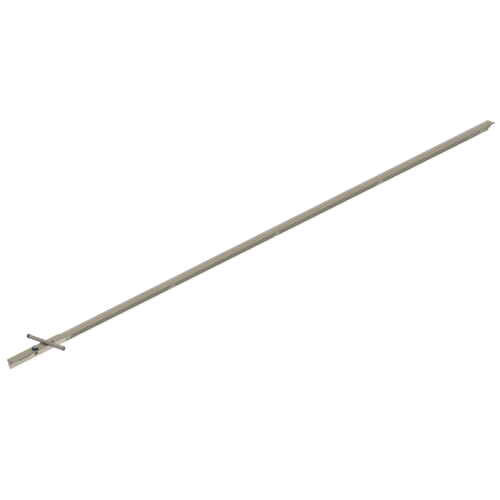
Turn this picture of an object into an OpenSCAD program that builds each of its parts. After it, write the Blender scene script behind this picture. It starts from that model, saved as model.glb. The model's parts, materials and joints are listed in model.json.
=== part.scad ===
// Extension flush bolt: a long angle strip with a T-handle case at one end.
// X runs from the handle end to the bolt's nose, Y is across the strip, Z is up.
// Dimensions along X are measured from the handle case's back corner.

/* [Strip] */
// Length from the handle case's back corner to the nose end
strip_len = 1219; // [900:1:1500]
// Width of the visible face
face_w = 15.9; // [15:0.1:18]
// Thickness of the visible face
face_t = 1.6; // [1.2:0.1:1.8]
// Thickness of the upright web behind the rod
web_t = 2; // [1.5:0.1:2.2]
// Depth of the web below the visible face
web_depth = 17.4; // [15:0.1:22]
// Width of the decorative groove along the face
groove_w = 1.2; // [0.6:0.1:2]
// Depth of the decorative groove
groove_d = 0.4; // [0.2:0.1:0.6]

/* [Handle case] */
// Thickness of the case's sheet
case_t = 1.5; // [1.2:0.1:1.8]
// Length of the case top, from its back corner
case_len = 126; // [125:0.5:128]
// How far the case's near corner reaches past its back corner
case_mitre = 14; // [6:0.5:16]
// Depth of the front plate below the case top
front_depth = 7.7; // [7:0.1:9]
// How far the front plate's lower corner is cut back
front_cut = 4; // [0:0.5:6]
// How far the far wall's lower corner is cut back
wall_cut = 9; // [0:0.5:12]
// Length of the tongue past the case
tongue_len = 15; // [13:0.5:15]
// Depth of the tongue
tongue_depth = 4.4; // [4:0.1:6]

/* [Bolt] */
// Diameter of the long rod
rod_d = 8; // [6:0.1:8]
// Diameter of the nose
nose_d = 8.4; // [8:0.1:8.4]
// Length of the nose
nose_len = 64; // [55:1:80]
// How far the nose sits behind the strip's end when withdrawn
nose_setback = 3; // [2:0.5:8]
// Travel of the bolt
stroke = 16; // [12:1:22]

/* [Handle] */
// Distance of the handle from the case's back corner
handle_x = 83; // [82:0.5:84]
// Diameter of the T-handle's crossbar
bar_d = 7; // [6:0.1:8]
// Length of the T-handle's crossbar over its caps
bar_len = 77; // [50:1:90]
// Diameter of the stem
stem_d = 4; // [3.8:0.1:5]
// Diameter of the crossbar's end caps
cap_d = 7.8; // [7.2:0.1:8]

/* [Lock screw] */
// Distance of the lock screw from the case's back corner
lock_x = 58; // [57.5:0.5:60]
// Diameter of the lock screw's head
lock_head_d = 10.5; // [8:0.1:11]
// Height of the lock screw's head
lock_head_h = 4.6; // [3:0.1:5]
// Flutes around the grip ring
lock_flutes = 24; // [12:1:30]

/* [Guides] */
// Number of guides between the first one and the nose guide
mid_guides = 3; // [3:1:3]
// Length of each guide
guide_len = 12; // [9:0.5:16]
// Radial running clearance of the sliding parts
running = 0.06; // [0.03:0.01:0.1]

/* [Fixings] */
// Radius of the two fixing screw holes
fix_r = 1.8; // [1.6:0.1:2.1]
// Radius of the fixing holes' countersinks
fix_sink_r = 3; // [2.6:0.1:3.2]
// Distance of the back fixing hole from the case's back corner, outwards
fix_back = 4; // [2:0.5:5]
// Distance of the nose fixing hole from the strip's end
fix_front = 11; // [4.5:0.5:14]

/* [Hidden] */
$fn = 48;
e = 0.01;
half_w = face_w / 2;
join_gap = 0.2;

// The frame's origin is midway between the two fixing holes, halfway down the nose one's straight wall
fix_y = -4.6;
fix_x = [-fix_back, strip_len - fix_front];
fix_sink = 0.8;
case_sink = 1;
origin = [(fix_x[0] + fix_x[1]) / 2, fix_y, -(face_t + fix_sink) / 2];

// Bolt axis and stations
rod_y = 1.5;
rod_z = -6.2;
rod_r = rod_d / 2;
stub_r = 2.5;
block_x = [handle_x - 11.5, handle_x + 19.5];
nut_len = 4;
rod_x = block_x[1] + nut_len;
nose_x1 = strip_len - nose_setback;
nose_x0 = nose_x1 - nose_len;
nose_stub = 15;
nose_chamfer = 1.5;
nose_chamfer_r = 1.3;
nose_pin_x = nose_x0 + 8;
nose_pin_r = 0.95;
nut_corner_r = 4.5;
stub_in_block = 5;

// Case
strip_x0 = case_len - 4.5;
case_wall_y = half_w - case_t;
front_in_y = -half_w + case_t;
tongue_x1 = case_len + tongue_len;
slit_x = [12.5, 41];
slit_h = 0.9;
block_screw_x = 54;
block_screw_z = -2.3;
block_screw_r = 1.8;
block_screw_head = 0.9;
block_thread_r = 1.05;
screw_slot_x = [51.5, 56.5];
screw_slot_r = 1.9;
tongue_screw_x = 133;
tongue_screw_z = -2.6;
tongue_screw_l = 3.4;
tongue_head_r = 1.9;
tongue_head_t = 0.5;
tongue_thread_r = 0.9;
hex_socket_r = 0.75;
strip_rivet_x = case_len - 2.1;
strip_rivet_y = -3.5;
groove_y = -2.15;
arm_x1 = 44;
arm_y = -3;
arm_h = 4;
end_block_h = 4.5;
end_block_inset = 3.4;
end_block_x = [3, 12];

// Slider, from its top under the face down to the rail
stem_y = -3.7;
slider_top = -2;
slider_bottom = -10.4;
slider_y = [-3.5, 4.9];
slider_shoulder_y = -6;
slider_shoulder_z = -5;
tail_x = 20;
tail_top = -6.2;
stem_thread_r = 1.7;
stem_spigot_r = 1.5;
bar_gap = 0.6;
bar_seat = 2.3;
pin_r = 0.75;
pin_l = 6.4;
bar_z = case_t + bar_gap + bar_d / 2;
stem_spigot_top = bar_z + bar_seat;
stem_seat_z = bar_z - bar_seat;
slot_side = 0.3;
cap_len = 5;
cap_spigot_r = 2.5;
cap_spigot = 4;
cap_edge = 0.8;
cap_dimple_r = 1.6;
cap_dimple_d = 0.6;

// Rail
rail_x = [30, 92];
rail_t = 1;
rail_leg_t = 1.2;
rail_top = slider_bottom - 0.3;
rail_edge_y = -1;

// Lock
lock_y = -2;
lock_block_x = [46, 67];
lock_block_z = -4;
lock_thread_r = 1.95;
lock_tip_r = 1.2;
shoe_r = 2.8;
shoe_t = 1.3;
shoe_pocket = 1.4;
shoe_socket = 0.8;
shoe_z = tail_top + 0.3;
head_gap = 0.4;
head_z = case_t + head_gap;
cap_disc_t = 0.8;
disc_r = lock_head_d / 2 - 0.2;
disc_edge = 0.3;
driver_slot = [1, 0.7];
flute_r = 0.5;
grip_h = lock_head_h - cap_disc_t;
head_core_r = lock_head_d / 2 - 1.2;

// Guides and their rivets
handle_guide_x = tongue_x1 - 10;
handle_guide_len = 10;
nose_guide_x = strip_len - 33;
guide_step = (nose_guide_x - handle_guide_x) / (mid_guides + 1);
mid_guide_x = [for (i = [1:mid_guides]) handle_guide_x + i * guide_step];
guide_rivet_z = -11.9;
guide_rivet_r = 1.1;
guide_rivet_in = 3;
rivet_head_r = 2.2;
rivet_head_t = 0.8;
fit_gap = 0.05;

// Section of the guides: near side, slanted underside and foot
guide_near = [-3.6, -7.6];
guide_slant = [0.4, -11.4];
guide_foot = [1.4, -13.2];

// X and Z of the rivets through the case's back wall
deep_rivets = [[7.5, -2.6], [64, -2]];
rail_rivets = [[38, -5.2], [84, -5.2]];
deep_rivet_l = 4.2;
rail_rivet_l = case_t + rail_leg_t;

// Drag spring
spring_l = 16;
spring_t = 0.35;
spring_rise = 1.3;
spring_y = [1.3, 4.7];
spring_flat = 3;
spring_rivet_x = block_x[0] + 2.5;
spring_rivet_y = 3;
spring_rivet_r = 0.8;
spring_rivet_l = 2.8;

module place() { translate(-origin) children(); }

// A rod along X, Y or downwards
module x_rod(x, l, r) { translate([x, 0, 0]) rotate([0, 90, 0]) cylinder(h = l, r = r); }
module y_rod(y, l, r) { translate([0, y, 0]) rotate([-90, 0, 0]) cylinder(h = l, r = r); }
module box(x, y, z) { translate([x[0], y[0], z[0]]) cube([x[1] - x[0], y[1] - y[0], z[1] - z[0]]); }

// A hole from the back face at y, with room for the flush head
module rivet_hole(y, depth) {
    y_rod(y - depth, depth + 1, guide_rivet_r + fit_gap);
    y_rod(y - rivet_head_t - fit_gap, rivet_head_t + 1, rivet_head_r + fit_gap);
}

module rivet(y, depth) {
    y_rod(y - depth, depth - rivet_head_t + e, guide_rivet_r);
    y_rod(y - rivet_head_t, rivet_head_t - fit_gap, rivet_head_r);
}

module fixing_hole(x, top, sink) {
    translate([x, fix_y, -20]) cylinder(h = 40, r = fix_r);
    translate([x, fix_y, top - sink]) cylinder(h = sink + e, r1 = fix_r, r2 = fix_sink_r);
}

module at_spots(spots) { for (p = spots) translate([p[0], 0, p[1]]) children(); }
module at_case_rivets() { at_spots(concat(deep_rivets, rail_rivets)) children(); }
module at_guide_rivets() {
    for (x = concat([handle_guide_x + handle_guide_len / 2 - guide_len / 2], mid_guide_x, [nose_guide_x]))
        translate([x + guide_len / 2, 0, guide_rivet_z]) children();
}

module face_strip() {
    color([0.63, 0.60, 0.55]) place() difference() {
        box([strip_x0, strip_len], [-half_w, half_w], [-face_t, 0]);
        box([case_len + join_gap, strip_len + 1], [groove_y, groove_y + groove_w], [-groove_d, 1]);
        box([strip_x0 - 1, tongue_x1 + join_gap], [-half_w - 1, front_in_y + 0.05], [-face_t - 1, 1]);
        fixing_hole(fix_x[1], 0, fix_sink);
        translate([strip_rivet_x, strip_rivet_y, -face_t - 1]) cylinder(h = 4, r = guide_rivet_r + fit_gap);
    }
}

// Deep bar welded under the face's far edge, which the guides are riveted to
module back_web() {
    color([0.52, 0.49, 0.44]) place() difference() {
        box([strip_x0, strip_len], [half_w - web_t, half_w], [-web_depth, -face_t]);
        at_guide_rivets() rivet_hole(half_w, 6);
    }
}

module slot_cut() {
    slot_r = stem_d / 2 + slot_side;
    slot_x = [handle_x, handle_x + stroke];
    box(slot_x, [stem_y - slot_r, stem_y + slot_r], [-1, case_t + 1]);
    for (x = slot_x) translate([x, stem_y, -1]) cylinder(h = case_t + 2, r = slot_r);
}

module handle_case() {
    color([0.62, 0.59, 0.54]) place() difference() {
        union() {
            linear_extrude(case_t)
                polygon([[0, half_w], [case_len, half_w], [case_len, -half_w], [-case_mitre, -half_w]]);
            translate([0, half_w, 0]) rotate([90, 0, 0]) linear_extrude(case_t)
                polygon([[0, e], [strip_x0 - 0.3, e], [strip_x0 - 0.3, -web_depth], [wall_cut, -web_depth]]);
        }
        slot_cut();
        translate([lock_x, lock_y, -1]) cylinder(h = 4, r = lock_thread_r + 0.5);
        fixing_hole(fix_x[0], case_t, case_sink);
        translate([strip_rivet_x, strip_rivet_y, -1]) cylinder(h = 4, r = guide_rivet_r + fit_gap);
        at_case_rivets() rivet_hole(half_w, 4);
    }
}

// Bright near wall: slanted back end, finger slit and a tongue under the strip's edge
module front_plate() {
    color([0.76, 0.73, 0.69]) place() difference() {
        translate([0, front_in_y, 0]) rotate([90, 0, 0]) linear_extrude(case_t)
            polygon([
                [-case_mitre, 0], [slit_x[0], 0], [slit_x[0], -slit_h], [slit_x[1], -slit_h], [slit_x[1], 0],
                [tongue_x1, 0], [tongue_x1, -tongue_depth], [case_len, -tongue_depth],
                [case_len, -front_depth], [front_cut - case_mitre, -front_depth]
            ]);
        box(screw_slot_x, [-half_w - 1, 0], [block_screw_z - screw_slot_r, block_screw_z + screw_slot_r]);
        for (x = screw_slot_x) translate([x, 0, block_screw_z]) y_rod(-half_w - 1, 4, screw_slot_r);
        translate([tongue_screw_x, 0, tongue_screw_z]) y_rod(-half_w - 1, 4, tongue_thread_r + fit_gap);
        fixing_hole(fix_x[0], case_t, case_sink);
    }
}

// Block that closes the handle end, with an arm behind the finger slit
module end_block() {
    color([0.16, 0.15, 0.14]) place() difference() {
        union() {
            translate([0, 0, -end_block_h]) linear_extrude(end_block_h)
                polygon([
                    [end_block_x[0], case_wall_y], [end_block_x[1], case_wall_y],
                    [end_block_x[1], front_in_y], [end_block_inset - case_mitre, front_in_y]
                ]);
            box([end_block_x[1] - e, arm_x1], [front_in_y, arm_y], [-arm_h, 0]);
        }
        fixing_hole(fix_x[0], case_t, case_sink);
        at_case_rivets() y_rod(half_w - deep_rivet_l - 0.1, 5, guide_rivet_r + fit_gap);
    }
}

// Angle on the back wall that carries the slider
module slide_rail() {
    color([0.52, 0.51, 0.48]) place() difference() {
        union() {
            box(rail_x, [case_wall_y - rail_leg_t, case_wall_y], [rail_top - rail_t, lock_block_z - 0.2]);
            for (x = [[rail_x[0], lock_block_x[0] - 0.3], [lock_block_x[1] + 0.3, rail_x[1]]])
                box(x, [case_wall_y - rail_leg_t, case_wall_y], [lock_block_z - 1, -0.6]);
            box(rail_x, [rail_edge_y, case_wall_y], [rail_top - rail_t, rail_top]);
        }
        at_case_rivets() y_rod(case_wall_y - 2, 4, guide_rivet_r + fit_gap);
    }
}

module lock_block() {
    color([0.20, 0.19, 0.17]) place() difference() {
        box(lock_block_x, [front_in_y, case_wall_y], [lock_block_z, 0]);
        translate([lock_x, lock_y, lock_block_z - 1]) cylinder(h = 6, r = lock_thread_r + fit_gap);
        translate([lock_x, lock_y, lock_block_z - 1]) cylinder(h = shoe_pocket + 1, r = shoe_r + 0.3);
        translate([block_screw_x, 0, block_screw_z]) y_rod(front_in_y - 1, 3.1, block_thread_r + fit_gap);
        at_case_rivets() y_rod(half_w - deep_rivet_l - 0.1, 5, guide_rivet_r + fit_gap);
    }
}

module cross_recess(y, l) {
    for (a = [0, 90]) rotate([0, a, 0]) box([-l / 2, l / 2], [y - 1, y + 0.5], [-0.3, 0.3]);
}

module lock_block_screw() {
    color([0.36, 0.35, 0.33]) place() translate([block_screw_x, 0, block_screw_z]) difference() {
        union() {
            y_rod(front_in_y - block_screw_head, block_screw_head, block_screw_r);
            y_rod(front_in_y - e, 2, block_thread_r);
        }
        cross_recess(front_in_y - block_screw_head, 2.4);
    }
}

module tongue_screw() {
    color([0.7, 0.68, 0.64]) place() translate([tongue_screw_x, 0, tongue_screw_z]) difference() {
        union() {
            y_rod(-half_w - tongue_head_t, tongue_head_t, tongue_head_r);
            y_rod(-half_w - e, tongue_screw_l, tongue_thread_r);
        }
        y_rod(-half_w - 1, 1.3, hex_socket_r, $fn = 6);
    }
}

module case_rivets() {
    color([0.6, 0.59, 0.56]) place() {
        at_spots(deep_rivets) rivet(half_w, deep_rivet_l);
        at_spots(rail_rivets) rivet(half_w, rail_rivet_l);
    }
}

module strip_rivet() {
    color([0.6, 0.57, 0.52]) place() translate([strip_rivet_x, strip_rivet_y, 0]) {
        translate([0, 0, case_t]) cylinder(h = 0.5, r1 = 2, r2 = 1.5);
        translate([0, 0, -face_t]) cylinder(h = face_t + case_t + e, r = guide_rivet_r);
    }
}

// Acetal saddle around the rod, held against the web
module guide(x, l, r) {
    difference() {
        translate([x, 0, 0]) rotate([90, 0, 90]) linear_extrude(l)
            polygon([
                [half_w - web_t, -face_t], [guide_near[0], -face_t], guide_near,
                guide_slant, guide_foot, [half_w - web_t, guide_foot[1]]
            ]);
        translate([0, rod_y, rod_z]) x_rod(x - 1, l + 2, r + running);
        translate([x + l / 2, 0, guide_rivet_z])
            y_rod(half_w - web_t - guide_rivet_in, 4, guide_rivet_r + fit_gap);
    }
}

module handle_guide() {
    color([0.33, 0.32, 0.30]) place() difference() {
        union() {
            guide(handle_guide_x, handle_guide_len, rod_r);
            box([handle_guide_x, tongue_x1], [front_in_y, -3.5], [-tongue_depth, -face_t]);
        }
        translate([tongue_screw_x, 0, tongue_screw_z])
            y_rod(-half_w - e, tongue_screw_l + 0.1, tongue_thread_r + fit_gap);
    }
}

module rod_guide_1() { color([0.33, 0.32, 0.30]) place() guide(mid_guide_x[0], guide_len, rod_r); }
module rod_guide_2() { color([0.33, 0.32, 0.30]) place() guide(mid_guide_x[1], guide_len, rod_r); }
module rod_guide_3() { color([0.33, 0.32, 0.30]) place() guide(mid_guide_x[2], guide_len, rod_r); }
module nose_guide() { color([0.33, 0.32, 0.30]) place() guide(nose_guide_x, guide_len, nose_d / 2); }

module guide_rivets() {
    color([0.6, 0.59, 0.56]) place() at_guide_rivets() rivet(half_w, web_t + guide_rivet_in - 0.1);
}

module slider_block() {
    color([0.50, 0.49, 0.46]) place() difference() {
        union() {
            box(block_x, [slider_shoulder_y, slider_y[1]], [slider_shoulder_z, slider_top]);
            box(block_x, slider_y, [slider_bottom, slider_shoulder_z + e]);
            box([tail_x, block_x[0] + e], slider_y, [slider_bottom, tail_top]);
        }
        translate([handle_x, stem_y, slider_bottom + 1.5]) cylinder(h = 12, r = stem_thread_r + fit_gap);
        translate([0, rod_y, rod_z])
            x_rod(block_x[1] - stub_in_block - 0.2, stub_in_block + 2, stub_r + fit_gap);
        translate([spring_rivet_x, spring_rivet_y, slider_top - 3])
            cylinder(h = 4, r = spring_rivet_r + fit_gap);
    }
}

// Stem: threaded end in the slider, body in the slot, spigot in the crossbar
module handle_stem() {
    color([0.55, 0.53, 0.49]) place() translate([handle_x, stem_y, 0]) difference() {
        union() {
            translate([0, 0, slider_bottom + 2])
                cylinder(h = slider_top - slider_bottom - 2 + e, r = stem_thread_r);
            translate([0, 0, slider_top]) cylinder(h = stem_seat_z - slider_top, r = stem_d / 2);
            translate([0, 0, stem_seat_z - e])
                cylinder(h = stem_spigot_top - stem_seat_z, r = stem_spigot_r);
        }
        translate([0, 0, bar_z]) x_rod(-3, 6, pin_r + fit_gap);
    }
}

module crossbar() {
    color([0.57, 0.55, 0.51]) place() translate([handle_x, stem_y, bar_z]) difference() {
        union() {
            y_rod(-bar_len / 2 + cap_len, bar_len - 2 * cap_len, bar_d / 2);
            y_rod(-bar_len / 2 + cap_len - cap_spigot, bar_len - 2 * (cap_len - cap_spigot), cap_spigot_r);
        }
        translate([0, 0, -bar_d]) cylinder(h = bar_d - bar_seat + fit_gap, r = stem_d / 2 + fit_gap);
        translate([0, 0, -bar_d])
            cylinder(h = bar_d + stem_spigot_top - bar_z + 0.1, r = stem_spigot_r + fit_gap);
        x_rod(-5, 10, pin_r + fit_gap);
    }
}

module stem_pin() {
    color([0.5, 0.5, 0.48]) place() translate([handle_x, stem_y, bar_z]) x_rod(-pin_l / 2, pin_l, pin_r);
}

module crossbar_cap(side) {
    translate([handle_x, stem_y, bar_z]) scale([1, side, 1]) difference() {
        union() {
            y_rod(bar_len / 2 - cap_len, cap_len - cap_edge, cap_d / 2);
            translate([0, bar_len / 2 - cap_edge - e, 0]) rotate([-90, 0, 0])
                cylinder(h = cap_edge, r1 = cap_d / 2, r2 = cap_d / 2 - cap_edge);
        }
        y_rod(bar_len / 2 - cap_len - 1, cap_spigot + 1.1, cap_spigot_r + fit_gap);
        y_rod(bar_len / 2 - cap_dimple_d, 2, cap_dimple_r);
    }
}

module crossbar_cap_near() { color([0.22, 0.21, 0.19]) place() crossbar_cap(-1); }
module crossbar_cap_far() { color([0.22, 0.21, 0.19]) place() crossbar_cap(1); }

// Bowed leaf on the slider that rubs under the case top and keeps the bolt where it is put
module drag_spring() {
    steps = 12;
    bow = function(i) spring_rise * sin(180 * max(0, (i - spring_flat) / (steps - spring_flat)));
    arc = [for (i = [0:steps]) [spring_l * i / steps, bow(i)]];
    color([0.6, 0.6, 0.58]) place() difference() {
        translate([block_x[0] + 0.5, spring_y[1], slider_top]) rotate([90, 0, 0])
            linear_extrude(spring_y[1] - spring_y[0])
            polygon(concat([for (p = arc) p + [0, spring_t]], [for (i = [steps:-1:0]) arc[i]]));
        translate([spring_rivet_x, spring_rivet_y, slider_top - 1])
            cylinder(h = 2, r = spring_rivet_r + fit_gap);
    }
}

module spring_rivet() {
    color([0.6, 0.6, 0.58]) place() translate([spring_rivet_x, spring_rivet_y, slider_top]) {
        translate([0, 0, -spring_rivet_l]) cylinder(h = spring_rivet_l + spring_t + e, r = spring_rivet_r);
        translate([0, 0, spring_t]) cylinder(h = 0.5, r1 = 1.5, r2 = 1);
    }
}

module bolt_rod() {
    color([0.50, 0.47, 0.42]) place() translate([0, rod_y, rod_z]) {
        x_rod(block_x[1] - stub_in_block, stub_in_block + nut_len + e, stub_r);
        x_rod(rod_x, nose_x0 - rod_x, rod_r);
        x_rod(nose_x0 - e, nose_stub, stub_r);
    }
}

module jam_nut() {
    color([0.6, 0.58, 0.53]) place() translate([0, rod_y, rod_z]) difference() {
        translate([block_x[1], 0, 0]) rotate([0, 90, 0]) cylinder(h = nut_len, r = nut_corner_r, $fn = 6);
        x_rod(block_x[1] - 1, nut_len + 2, stub_r + fit_gap);
    }
}

module bolt_nose() {
    color([0.56, 0.54, 0.50]) place() translate([0, rod_y, rod_z]) difference() {
        union() {
            x_rod(nose_x0, nose_len - nose_chamfer, nose_d / 2);
            translate([nose_x1 - nose_chamfer - e, 0, 0]) rotate([0, 90, 0])
                cylinder(h = nose_chamfer + e, r1 = nose_d / 2, r2 = nose_d / 2 - nose_chamfer_r);
        }
        x_rod(nose_x0 - 1, nose_stub + 1.3, stub_r + fit_gap);
        translate([nose_pin_x, 0, -6]) cylinder(h = 12, r = nose_pin_r + fit_gap);
    }
}

module nose_pin() {
    color([0.4, 0.4, 0.38]) place() translate([nose_pin_x, rod_y, rod_z - 4]) difference() {
        cylinder(h = 1.4, r = nose_pin_r);
        translate([0, 0, -1]) cylinder(h = 3, r = 0.45);
    }
}

// Shoe that the lock screw pushes down on the slider's tail
module lock_shoe() {
    color([0.62, 0.50, 0.28]) place() translate([lock_x, lock_y, shoe_z]) difference() {
        cylinder(h = shoe_t, r = shoe_r);
        translate([0, 0, shoe_t - shoe_socket]) cylinder(h = 2, r = lock_tip_r + fit_gap);
    }
}

module lock_screw() {
    color([0.56, 0.57, 0.57]) place() translate([lock_x, lock_y, 0]) difference() {
        union() {
            translate([0, 0, shoe_z + shoe_t - 0.7]) cylinder(h = 1.5, r = lock_tip_r);
            translate([0, 0, shoe_z + shoe_t + 0.05])
                cylinder(h = head_z - shoe_z - shoe_t, r = lock_thread_r);
            translate([0, 0, head_z]) cylinder(h = grip_h + e, r = head_core_r);
            translate([0, 0, head_z + grip_h]) cylinder(h = cap_disc_t - disc_edge, r = disc_r);
            translate([0, 0, head_z + lock_head_h - disc_edge - e])
                cylinder(h = disc_edge, r1 = disc_r, r2 = disc_r - disc_edge);
        }
        box([-lock_head_d, lock_head_d], [-driver_slot[0] / 2, driver_slot[0] / 2],
            [head_z + lock_head_h - driver_slot[1], head_z + lock_head_h + 1]);
    }
}

module lock_grip() {
    color([0.10, 0.10, 0.09]) place() translate([lock_x, lock_y, head_z]) difference() {
        cylinder(h = grip_h - fit_gap, r = lock_head_d / 2);
        translate([0, 0, -1]) cylinder(h = grip_h + 2, r = head_core_r + fit_gap);
        for (i = [1:lock_flutes]) rotate([0, 0, i * 360 / lock_flutes])
            translate([(lock_head_d + flute_r) / 2, 0, -1]) cylinder(h = grip_h + 2, r = flute_r, $fn = 16);
    }
}

face_strip();
back_web();
handle_case();
front_plate();
end_block();
slide_rail();
lock_block();
lock_block_screw();
tongue_screw();
case_rivets();
strip_rivet();
handle_guide();
rod_guide_1();
rod_guide_2();
rod_guide_3();
nose_guide();
guide_rivets();
slider_block();
handle_stem();
crossbar();
stem_pin();
crossbar_cap_near();
crossbar_cap_far();
drag_spring();
spring_rivet();
bolt_rod();
jam_nut();
bolt_nose();
nose_pin();
lock_shoe();
lock_screw();
lock_grip();
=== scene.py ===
"""Extension flush bolt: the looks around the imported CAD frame. Lengths are in metres."""

import json
import math

import bmesh
import bpy
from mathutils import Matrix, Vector


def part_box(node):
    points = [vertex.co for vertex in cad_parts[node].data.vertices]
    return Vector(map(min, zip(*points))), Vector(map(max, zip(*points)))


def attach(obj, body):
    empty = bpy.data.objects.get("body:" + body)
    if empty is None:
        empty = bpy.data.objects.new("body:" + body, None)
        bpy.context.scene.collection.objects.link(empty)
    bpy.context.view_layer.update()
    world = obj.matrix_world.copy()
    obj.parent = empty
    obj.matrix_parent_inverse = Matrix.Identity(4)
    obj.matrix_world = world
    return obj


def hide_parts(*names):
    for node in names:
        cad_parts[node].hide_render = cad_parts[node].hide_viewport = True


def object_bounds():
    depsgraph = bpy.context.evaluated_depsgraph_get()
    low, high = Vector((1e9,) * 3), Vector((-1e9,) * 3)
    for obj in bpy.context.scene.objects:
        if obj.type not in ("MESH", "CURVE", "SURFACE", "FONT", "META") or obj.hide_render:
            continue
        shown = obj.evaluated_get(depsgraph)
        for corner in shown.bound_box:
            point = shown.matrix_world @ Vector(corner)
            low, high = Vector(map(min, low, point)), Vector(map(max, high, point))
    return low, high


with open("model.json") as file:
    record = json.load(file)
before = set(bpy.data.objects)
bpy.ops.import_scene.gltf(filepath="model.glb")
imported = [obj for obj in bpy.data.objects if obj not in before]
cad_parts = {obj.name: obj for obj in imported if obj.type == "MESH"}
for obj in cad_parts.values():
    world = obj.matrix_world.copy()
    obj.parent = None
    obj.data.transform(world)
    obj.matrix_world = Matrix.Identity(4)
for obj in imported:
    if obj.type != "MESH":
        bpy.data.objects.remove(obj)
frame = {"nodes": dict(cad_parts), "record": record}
cad_low, cad_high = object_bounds()
nodes = frame["nodes"]
MM = 0.001


# ---------------------------------------------------------------- materials

class Shader:
    """A new material with short helpers for wiring its nodes."""

    def __init__(self, name):
        self.material = bpy.data.materials.new(name)
        self.material.use_nodes = True
        self.tree = self.material.node_tree
        self.surface = self.tree.nodes["Principled BSDF"]
        coordinates = self.add("ShaderNodeTexCoord")
        self.place = coordinates.outputs["Object"]
        self.facing = coordinates.outputs["Normal"]

    def add(self, kind, **sockets):
        node = self.tree.nodes.new(kind)
        for name, value in sockets.items():
            self.feed(node.inputs[name.replace("_", " ")], value)
        return node

    def feed(self, socket, value):
        if isinstance(value, bpy.types.NodeSocket):
            self.tree.links.new(value, socket)
        else:
            socket.default_value = value

    def set(self, **sockets):
        for name, value in sockets.items():
            self.feed(self.surface.inputs[name.replace("_", " ")], value)

    def stretched(self, scale, shift=0.0):
        move = (shift, shift, shift)
        node = self.add("ShaderNodeMapping", Vector=self.place, Scale=scale, Location=move)
        return node.outputs["Vector"]

    def noise(self, scale, detail=4.0, rough=0.55, shift=0.0):
        where = self.stretched(scale, shift)
        node = self.add("ShaderNodeTexNoise", Vector=where, Scale=1.0, Detail=detail, Roughness=rough)
        return node.outputs["Fac"]

    def along(self, vector, axis):
        return self.add("ShaderNodeSeparateXYZ", Vector=vector).outputs[axis]

    def ramp(self, factor, low, high, start=0.3, end=0.7):
        node = self.add("ShaderNodeMapRange", Value=factor)
        for name, value in (("From Min", start), ("From Max", end), ("To Min", low), ("To Max", high)):
            node.inputs[name].default_value = value
        return node.outputs["Result"]

    def mix(self, factor, first, second, mode="MIX"):
        node = self.tree.nodes.new("ShaderNodeMix")
        node.data_type = "RGBA"
        node.blend_type = mode
        self.feed(node.inputs["Factor"], factor)
        self.feed(node.inputs[6], first)
        self.feed(node.inputs[7], second)
        return node.outputs[2]

    def bump(self, height, distance, strength=1.0, under=None):
        node = self.add("ShaderNodeBump", Height=height, Distance=distance, Strength=strength)
        if under is not None:
            self.feed(node.inputs["Normal"], under)
        return node.outputs["Normal"]


def rgba(colour, gain=1.0):
    return (*[c * gain for c in colour], 1.0)


LENGTHWISE, ACROSS, UPRIGHT = 0, 1, 2
GRAIN_ALONG = 9.0
GRAIN_FINE = 2600.0
GRAIN_BROAD = 700.0
STREAK_ALONG = 16.0
STREAK_ACROSS = 230.0


def grain_scale(axis, along, fine):
    """Noise scale that draws lines along one axis: coarse along it, fine across it."""
    return tuple(along if i == axis else fine for i in range(3))


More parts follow.
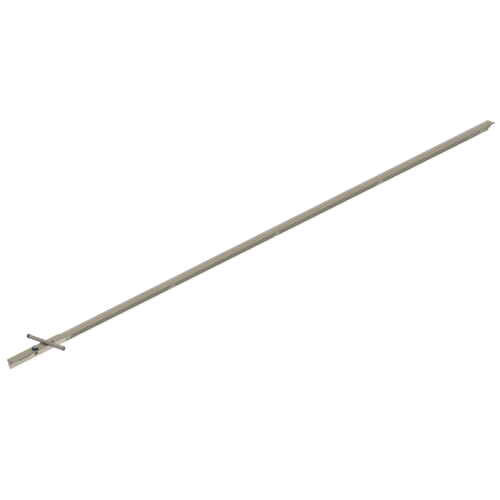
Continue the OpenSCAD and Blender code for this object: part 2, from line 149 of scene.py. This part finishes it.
def brushed(name, colour, axis, rough=0.36, streak=0.15, mottle=0.5, metallic=0.8,
            stain=(0.22, 0.19, 0.14), side_shade=1.0, under=1.0, warm=0.5, painted_light_fades=()):
    """Brushed metal: grain and broad streaks along one axis, tone drift, faint stains and small scratches.

    The side factor is how bright the faces that don't look up or down are next to the brushed ones: painted
    shade on those sides, over faint mill marks. under is the same for faces that look down: painted shade.
    Each fade is (axis name, start, end, gains): from start to end the tone changes to itself times the
    gains for red, green and blue. Every fade paints light or shade along or across a piece.
    """
    s = Shader(name)
    fine = s.noise(grain_scale(axis, GRAIN_ALONG, GRAIN_FINE), detail=3.0)
    broad = s.noise(grain_scale(axis, GRAIN_ALONG, GRAIN_BROAD), detail=2.0, shift=3.1)
    streaks = s.noise(grain_scale(axis, STREAK_ALONG, STREAK_ACROSS), detail=3.0, rough=0.6, shift=7.7)
    drift = s.noise((38.0, 90.0, 90.0), detail=4.0, rough=0.6)
    spots = s.noise((260.0, 320.0, 320.0), detail=6.0, rough=0.7)
    tone = s.mix(s.ramp(streaks, 0.0, 1.0, 0.36, 0.64), rgba(colour, 1 - streak), rgba(colour, 1 + streak))
    tone = s.mix(s.ramp(broad, 0.0, 0.5), tone, rgba(colour, 1 - streak))
    tone = s.mix(s.ramp(fine, 0.0, 0.35, 0.45, 0.75), tone, rgba(colour, 1 - 1.8 * streak))
    warmer = [c * k for c, k in zip(colour, (1.03, 0.96, 0.88))]
    tone = s.mix(s.ramp(drift, 0.0, warm, 0.42, 0.62), tone, rgba(warmer))
    tone = s.mix(s.ramp(spots, 0.0, mottle, 0.60, 0.80), tone, rgba(stain))
    # Painted shade: the faces that don't look up or down are darkened by the side factor, over faint mill
    # marks.
    if side_shade != 1.0:
        upward = s.add("ShaderNodeMath", Value=s.along(s.facing, "Z"))
        upward.operation = "ABSOLUTE"
        mill_marks_and_side_shade = s.mix(s.ramp(fine, 0.0, 1.0), rgba(colour, side_shade * 0.92), rgba(colour, side_shade * 1.06))
        tone = s.mix(s.ramp(upward.outputs[0], 0.0, 1.0, 0.35, 0.75), mill_marks_and_side_shade, tone)
    # Painted shade: the faces that look down are darkened by the under factor.
    if under != 1.0:
        underside_shade = s.ramp(s.along(s.facing, "Z"), 1.0, 0.0, -0.55, 0.35)
        tone = s.mix(underside_shade, tone, rgba((under, under, under)), "MULTIPLY")
    # Painted light and shade: each fade brightens or darkens the tone by place along one axis.
    for name_of_axis, start, end, gains in painted_light_fades:
        painted_light_share = s.ramp(s.along(s.place, name_of_axis), 0.0, 1.0, start, end)
        tone = s.mix(painted_light_share, tone, rgba(gains), "MULTIPLY")
    scratch = s.noise(tuple(24.0 if i == (axis + 1) % 3 else 380.0 for i in range(3)), detail=1.0)
    s.set(Base_Color=tone, Metallic=metallic, Anisotropic=0.4)
    s.set(Roughness=s.ramp(broad, rough - 0.06, rough + 0.10, 0.25, 0.75))
    normal = s.bump(fine, 0.00003, 0.5)
    s.set(Normal=s.bump(scratch, 0.00003, 0.2, normal))
    return s.material


def turned(name, colour, axis, rough=0.28, metallic=0.85):
    """Turned metal: fine tool rings around one axis and a little tone drift."""
    s = Shader(name)
    rings = s.noise(tuple(3200.0 if i == axis else 12.0 for i in range(3)), detail=2.0)
    drift = s.noise((160.0, 160.0, 160.0), detail=4.0)
    tone = s.mix(s.ramp(rings, 0.0, 1.0), rgba(colour, 0.88), rgba(colour, 1.10))
    tone = s.mix(s.ramp(drift, 0.0, 0.35), tone, rgba(colour, 0.78))
    s.set(Base_Color=tone, Metallic=metallic)
    s.set(Roughness=s.ramp(drift, rough - 0.05, rough + 0.12))
    s.set(Normal=s.bump(rings, 0.00002, 0.5))
    return s.material


def moulded(name, colour, rough=0.5, dust=(0.42, 0.40, 0.36), dust_share=0.12):
    """Moulded plastic or rubber: fine spark-eroded texture, slight dust in scattered patches."""
    s = Shader(name)
    skin = s.noise((2200.0, 2200.0, 2200.0), detail=5.0)
    patches = s.noise((140.0, 140.0, 140.0), detail=6.0, rough=0.65)
    tone = s.mix(s.ramp(skin, 0.0, 1.0), rgba(colour, 0.8), rgba(colour, 1.2))
    tone = s.mix(s.ramp(patches, 0.0, dust_share, 0.45, 0.75), tone, rgba(dust))
    s.set(Base_Color=tone)
    s.set(Roughness=s.ramp(patches, rough - 0.06, rough + 0.14))
    s.set(Normal=s.bump(skin, 0.00003, 0.5))
    return s.material


def make_looks():
    """One material for each slot. The painted light and shade ramps run between places taken from the pieces'
    boxes.
    """
    strip_low, strip_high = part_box("face_strip")
    near_y, mid_y, far_y = strip_low.y, (strip_low.y + strip_high.y) / 2, strip_high.y
    plate_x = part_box("front_plate")[0].x
    tongue_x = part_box("handle_case")[1].x
    lock_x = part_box("lock_screw")[0].x
    stem_low, stem_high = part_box("handle_stem")
    bar_low, bar_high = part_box("crossbar")
    bar_mid = (bar_low.y + bar_high.y) / 2
    return {
        # strip_metal: the tone lighter across the middle and darker toward the near edge is painted shade,
        # and the sides set to 0.53 are painted shade too.
        "strip_metal": brushed("strip_metal", (0.318, 0.290, 0.240), LENGTHWISE, side_shade=0.53,
                               painted_light_fades=(("Y", far_y, mid_y, (1.09, 1.06, 1.02)),
                                      ("Y", mid_y, near_y, (0.84, 0.81, 0.77)))),
        # case_metal: the tone lightens toward the handle stem to cancel the crossbar's shadow (painted light)
        # and darkens past the stem toward the tongue (painted shade); its sides set to 0.80 are painted
        # shade.
        "case_metal": brushed("case_metal", (0.216, 0.197, 0.160), LENGTHWISE, rough=0.55, side_shade=0.80,
                              metallic=0.25,
                              painted_light_fades=(("X", plate_x, lock_x, (1.08, 1.03, 0.95)),
                                     ("X", lock_x, stem_low.x, (1.30, 1.28, 1.27)),
                                     ("X", stem_high.x, tongue_x, (0.78, 0.79, 0.82)))),
        # plate_bright: brighter toward the tongue end is painted light, and the dark band in the 1 mm past it
        # is painted shade.
        "plate_bright": brushed("plate_bright", (0.345, 0.326, 0.285), LENGTHWISE, rough=0.34, streak=0.10,
                                stain=(0.26, 0.24, 0.20),
                                painted_light_fades=(("X", plate_x, tongue_x, (1.32, 1.29, 1.26)),
                                       ("X", tongue_x, tongue_x + 1 * MM, (0.56, 0.56, 0.55)))),
        # block_dark: its near-black stands in for the shade in the slit it sits behind: painted shade.
        "block_dark": moulded("block_dark", (0.03, 0.027, 0.02), dust_share=0.05),
        "inner_steel": brushed("inner_steel", (0.34, 0.33, 0.30), LENGTHWISE, rough=0.42),
        "guide_plastic": moulded("guide_plastic", (0.28, 0.25, 0.20)),
        "rivet_metal": turned("rivet_metal", (0.36, 0.33, 0.28), ACROSS),
        "screw_dark": turned("screw_dark", (0.13, 0.12, 0.10), ACROSS, rough=0.38),
        "screw_bright": turned("screw_bright", (0.52, 0.49, 0.43), ACROSS),
        # rod_metal: its tone is set darker than the strip's to stand in for the shade under the strip's
        # overhang: painted shade.
        "rod_metal": brushed("rod_metal", (0.188, 0.161, 0.119), LENGTHWISE, rough=0.34, streak=0.08),
        "nose_metal": turned("nose_metal", (0.22, 0.20, 0.165), LENGTHWISE),
        # handle_metal: darker and browner across the middle of the crossbar stands in for the strip reflected
        # in it (painted reflection), and under=0.6 darkens its underside (painted shade).
        "handle_metal": brushed("handle_metal", (0.25, 0.24, 0.20), ACROSS, rough=0.38, metallic=0.6,
                                under=0.6,
                                painted_light_fades=(("Y", bar_high.y, bar_mid, (0.86, 0.79, 0.76)),
                                       ("Y", bar_mid, bar_low.y, (1.16, 1.26, 1.31)))),
        "cap_plastic": moulded("cap_plastic", (0.045, 0.042, 0.036)),
        "spring_steel": brushed("spring_steel", (0.40, 0.40, 0.38), LENGTHWISE, rough=0.25),
        "shoe_brass": turned("shoe_brass", (0.50, 0.34, 0.12), UPRIGHT),
        "stud_steel": turned("stud_steel", (0.20, 0.215, 0.22), UPRIGHT, rough=0.4, metallic=0.6),
        "grip_black": moulded("grip_black", (0.006, 0.0055, 0.004), rough=0.75, dust_share=0.01),
    }


# ---------------------------------------------------------------- helpers

look = make_looks()
slot_of = {part["node"]: part["material_slot"] for part in frame["record"]["subparts"]}
body_of = {n: b for b, members in frame["record"]["behaviour"]["bodies"].items() for n in members}


def dress(obj, slot):
    obj.data.materials.clear()
    obj.data.materials.append(look[slot])


WELD_REACH = 0.005 * MM
FLAT_WITHIN = math.radians(0.5)
SHARP_FROM = math.radians(35)


def soften(obj, width, segments=2, angle=30):
    """Small rounded edges from modifiers: the mesh itself stays as it is."""
    weld = obj.modifiers.new("weld", "WELD")
    weld.merge_threshold = WELD_REACH
    flatten = obj.modifiers.new("flatten", "DECIMATE")
    flatten.decimate_type = "DISSOLVE"
    flatten.angle_limit = FLAT_WITHIN
    bevel = obj.modifiers.new("edges", "BEVEL")
    bevel.width = width
    bevel.segments = segments
    bevel.limit_method = "ANGLE"
    bevel.angle_limit = math.radians(angle)
    bevel.use_clamp_overlap = True
    obj.modifiers.new("shading", "WEIGHTED_NORMAL").keep_sharp = False


def fillet(points, radius, steps=4):
    """The same outline with each inner corner rounded by a short curve."""
    outline = [points[0]]
    for before, corner, after in zip(points, points[1:], points[2:]):
        before, corner, after = Vector(before), Vector(corner), Vector(after)
        reach = min(radius, (before - corner).length * 0.45, (after - corner).length * 0.45)
        start = corner + (before - corner).normalized() * reach
        end = corner + (after - corner).normalized() * reach
        for step in range(steps + 1):
            t = step / steps
            outline.append(tuple((1 - t) ** 2 * start + 2 * t * (1 - t) * corner + t * t * end))
    outline.append(points[-1])
    return outline


def spin(name, profile, axis, centre, segments=64, shape=None):
    """A closed mesh spun around an axis through centre, from (place along the axis, radius) pairs.

    shape(angle) may limit the radius, such as for a hexagon. Points with no radius close the ends.
    """
    mesh = bpy.data.meshes.new(name)
    made = bmesh.new()
    first, second = [i for i in range(3) if i != axis]
    rings = []
    for along, radius in profile:
        count = segments if radius > 1e-7 else 1
        ring = []
        for i in range(count):
            angle = 2 * math.pi * i / segments
            reach = min(radius, shape(angle)) if shape else radius
            spot = [0.0, 0.0, 0.0]
            spot[axis] = along
            spot[first] = centre[first] + reach * math.cos(angle)
            spot[second] = centre[second] + reach * math.sin(angle)
            ring.append(made.verts.new(spot))
        rings.append(ring)
    for low, high in zip(rings, rings[1:]):
        for i in range(segments):
            j = (i + 1) % segments
            corners = [low[i % len(low)], low[j % len(low)], high[j % len(high)], high[i % len(high)]]
            corners = list(dict.fromkeys(corners))
            if len(corners) > 2:
                made.faces.new(corners)
    bmesh.ops.remove_doubles(made, verts=made.verts, dist=0.0000005)
    bmesh.ops.recalc_face_normals(made, faces=made.faces)
    made.to_mesh(mesh)
    made.free()
    mesh.shade_smooth()
    mesh.set_sharp_from_angle(angle=SHARP_FROM)
    obj = bpy.data.objects.new(name, mesh)
    bpy.context.scene.collection.objects.link(obj)
    return obj


def place(obj, slot, body):
    dress(obj, slot)
    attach(obj, body)


# ---------------------------------------------------------------- CAD nodes that stay

# Width in mm of each node's rounded edges. The nodes that aren't named keep sharp ones.
EDGE = {
    "face_strip": 0.22, "back_web": 0.22, "handle_case": 0.25, "front_plate": 0.22, "end_block": 0.3,
    "slide_rail": 0.2, "lock_block": 0.25, "handle_guide": 0.35, "rod_guide_1": 0.35, "rod_guide_2": 0.35,
    "rod_guide_3": 0.35, "nose_guide": 0.35, "slider_block": 0.3, "crossbar": 0.35, "bolt_nose": 0.3,
    "lock_screw": 0.2, "lock_grip": 0.15, "tongue_screw": 0.12, "lock_block_screw": 0.1,
}


def finish_cad_nodes():
    for name, node in nodes.items():
        dress(node, slot_of[name])
        if name in EDGE:
            soften(node, EDGE[name] * MM)


# ---------------------------------------------------------------- pieces that replace plain CAD solids

# CAP_MOUTH is a share of the cap's radius. The rest are lengths and radii.
CAP_RIM_DEPTH = 1.1 * MM
CAP_MOUTH = 0.74
CAP_SHOULDER = 0.35 * MM
CAP_LIP = 0.25 * MM
CAP_RIM_ROUND = 0.3 * MM
DISC_GAP = 0.1 * MM
DISC_EDGE = 0.3 * MM
DISC_DISH = 0.6 * MM
DISC_CROWN = 0.65 * MM
RIVET_SHANK_R = 1.1 * MM
RIVET_HEAD = 0.5 * MM
ROD_STUB_R = 2.5 * MM
ROD_STUB_NEAR = 9 * MM
ROD_STUB_FAR = 15 * MM
ROD_ROUND = 0.5 * MM
NUT_BORE_R = 2.6 * MM
NUT_CHAMFER = 0.5 * MM


def spin_rounded(name, outline, radius, centre):
    return spin(name, fillet(outline, radius), ACROSS, centre)


def crossbar_cap(side, name):
    """End cap: a sleeve with rounded shoulders, a dark rim around its mouth and a paler dished disc in it."""
    low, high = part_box(name)
    centre = (low + high) / 2
    radius = (high.x - low.x) / 2
    inner, outer = (high.y, low.y) if side < 0 else (low.y, high.y)
    mouth = CAP_MOUTH * radius
    seat = outer - side * CAP_RIM_DEPTH
    sleeve = [(inner, 0.0), (inner, radius), (seat, radius), (seat, 0.0)]
    place(spin_rounded(name + "_sleeve", sleeve, CAP_SHOULDER, centre), slot_of[name], body_of[name])
    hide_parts(name)
    rim = [(seat, mouth), (seat, radius), (outer, radius - CAP_LIP), (outer, mouth), (seat, mouth)]
    place(spin_rounded(name + "_rim", rim, CAP_RIM_ROUND, centre), "cap_plastic", body_of[name])
    face = seat + side * DISC_GAP
    disc = [(face, 0.0), (face, mouth), (face + side * DISC_EDGE, mouth - DISC_GAP),
            (face + side * DISC_DISH, 0.5 * mouth), (face + side * DISC_CROWN, 0.0)]
    place(spin_rounded(name + "_disc", disc, DISC_GAP, centre), "handle_metal", body_of[name])


def rivet_dome(name, slot):
    """Low domed head over a straight shank, pointing up."""
    low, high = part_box(name)
    centre = (low + high) / 2
    head = (high.x - low.x) / 2
    base = high.z - RIVET_HEAD
    turns = [math.radians(degrees) for degrees in range(0, 91, 10)]
    dome = [(base + RIVET_HEAD * math.cos(turn), head * math.sin(turn)) for turn in turns]
    outline = dome + [(base, RIVET_SHANK_R), (low.z, RIVET_SHANK_R), (low.z, 0.0)]
    piece = spin(name + "_dome", outline, UPRIGHT, centre, segments=40)
    place(piece, slot, body_of[name])
    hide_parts(name)


def round_bar(name, slot):
    """Drawn bar with slightly rounded ends and turned-down stubs, along X."""
    low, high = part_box(name)
    centre = (low + high) / 2
    radius = (high.z - low.z) / 2
    full_start, full_end = low.x + ROD_STUB_NEAR, high.x - ROD_STUB_FAR
    outline = [(low.x, 0.0), (low.x, ROD_STUB_R), (full_start, ROD_STUB_R), (full_start, radius),
               (full_end, radius), (full_end, ROD_STUB_R), (high.x, ROD_STUB_R), (high.x, 0.0)]
    bar = spin(name + "_bar", fillet(outline, ROD_ROUND), LENGTHWISE, centre)
    place(bar, slot, body_of[name])
    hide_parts(name)


def hex_nut(name, slot):
    """Hexagon nut with chamfered corners, along X."""
    low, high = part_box(name)
    centre = (low + high) / 2
    across = (high.y - low.y) / 2
    corner = across / math.cos(math.radians(30))
    sixth = math.pi / 3

    def flats(angle):
        return across / math.cos((angle + sixth / 2) % sixth - sixth / 2)

    outline = [(low.x, NUT_BORE_R), (low.x, across), (low.x + NUT_CHAMFER, corner),
               (high.x - NUT_CHAMFER, corner), (high.x, across), (high.x, NUT_BORE_R), (low.x, NUT_BORE_R)]
    nut = spin(name + "_hex", outline, LENGTHWISE, centre, segments=96, shape=flats)
    place(nut, slot, body_of[name])
    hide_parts(name)


finish_cad_nodes()
crossbar_cap(-1, "crossbar_cap_near")
crossbar_cap(1, "crossbar_cap_far")
rivet_dome("strip_rivet", "rivet_metal")
round_bar("bolt_rod", "rod_metal")
hex_nut("jam_nut", "screw_bright")


# ---------------------------------------------------------------- stage, light, camera

# The view is in degrees, and the lens and its sensor in mm. Shifts are from the middle of the strip.
FLOOR_HALF = 30.0
FLOOR_GREY = (0.3, 0.3, 0.3, 1)
FLOOR_GLOW = 0.85
SKY_STRENGTH = 1.1
VIEW_AZIMUTH, VIEW_ELEVATION = -49.97, 24.86
VIEW_DISTANCE = 31.71
VIEW_SHIFT_RIGHT, VIEW_SHIFT_UP = -0.0024, -0.0145
LENS, SENSOR = 1400, 36


def add_floor(height):
    mesh = bpy.data.meshes.new("floor")
    corners = [(x * FLOOR_HALF, y * FLOOR_HALF, height) for x, y in ((-1, -1), (1, -1), (1, 1), (-1, 1))]
    mesh.from_pydata(corners, [], [(0, 1, 2, 3)])
    floor = bpy.data.objects.new("floor", mesh)
    bpy.context.scene.collection.objects.link(floor)
    s = Shader("floor")
    s.set(Base_Color=FLOOR_GREY, Roughness=0.9, Emission_Color=(1, 1, 1, 1), Emission_Strength=FLOOR_GLOW)
    mesh.materials.append(s.material)


def add_area(name, place_at, aim, size, power):
    light = bpy.data.lights.new(name, "AREA")
    light.shape = "DISK"
    light.size = size
    light.energy = power
    lamp = bpy.data.objects.new(name, light)
    bpy.context.scene.collection.objects.link(lamp)
    lamp.location = place_at
    lamp.rotation_mode = "QUATERNION"
    lamp.rotation_quaternion = (Vector(aim) - Vector(place_at)).to_track_quat("-Z", "Y")


def add_camera():
    """A very long lens from far away, so that the strip's far end is as wide as its near one."""
    azimuth, elevation = math.radians(VIEW_AZIMUTH), math.radians(VIEW_ELEVATION)
    back = Vector((math.sin(azimuth) * math.cos(elevation), -math.cos(azimuth) * math.cos(elevation),
                   math.sin(elevation)))
    right = Vector((math.cos(azimuth), math.sin(azimuth), 0))
    up = back.cross(right)
    data = bpy.data.cameras.new("camera")
    data.lens = LENS
    data.sensor_width = SENSOR
    data.clip_start, data.clip_end = 0.5, 200
    camera = bpy.data.objects.new("camera", data)
    bpy.context.scene.collection.objects.link(camera)
    strip_low, strip_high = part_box("face_strip")
    anchor = Vector(((cad_low.x + cad_high.x) / 2, (strip_low.y + strip_high.y) / 2, strip_high.z))
    aim = anchor + right * VIEW_SHIFT_RIGHT + up * VIEW_SHIFT_UP
    camera.location = aim + back * VIEW_DISTANCE
    camera.rotation_mode = "QUATERNION"
    camera.rotation_quaternion = back.to_track_quat("Z", "Y")
    bpy.context.scene.camera = camera


def add_world():
    world = bpy.data.worlds.new("studio")
    world.use_nodes = True
    back = world.node_tree.nodes["Background"]
    back.inputs["Color"].default_value = (1.0, 1.0, 1.0, 1)
    back.inputs["Strength"].default_value = SKY_STRENGTH
    bpy.context.scene.world = world


add_floor(cad_low.z)
add_area("key", place_at=(-1.6, 0.6, 3.6), aim=(0, 0, 0), size=2.5, power=60)
add_area("fill", place_at=(1.2, -2.6, 2.4), aim=(0, 0, 0), size=3.0, power=12)
add_world()
add_camera()
bpy.context.scene.view_settings.view_transform = "Standard"
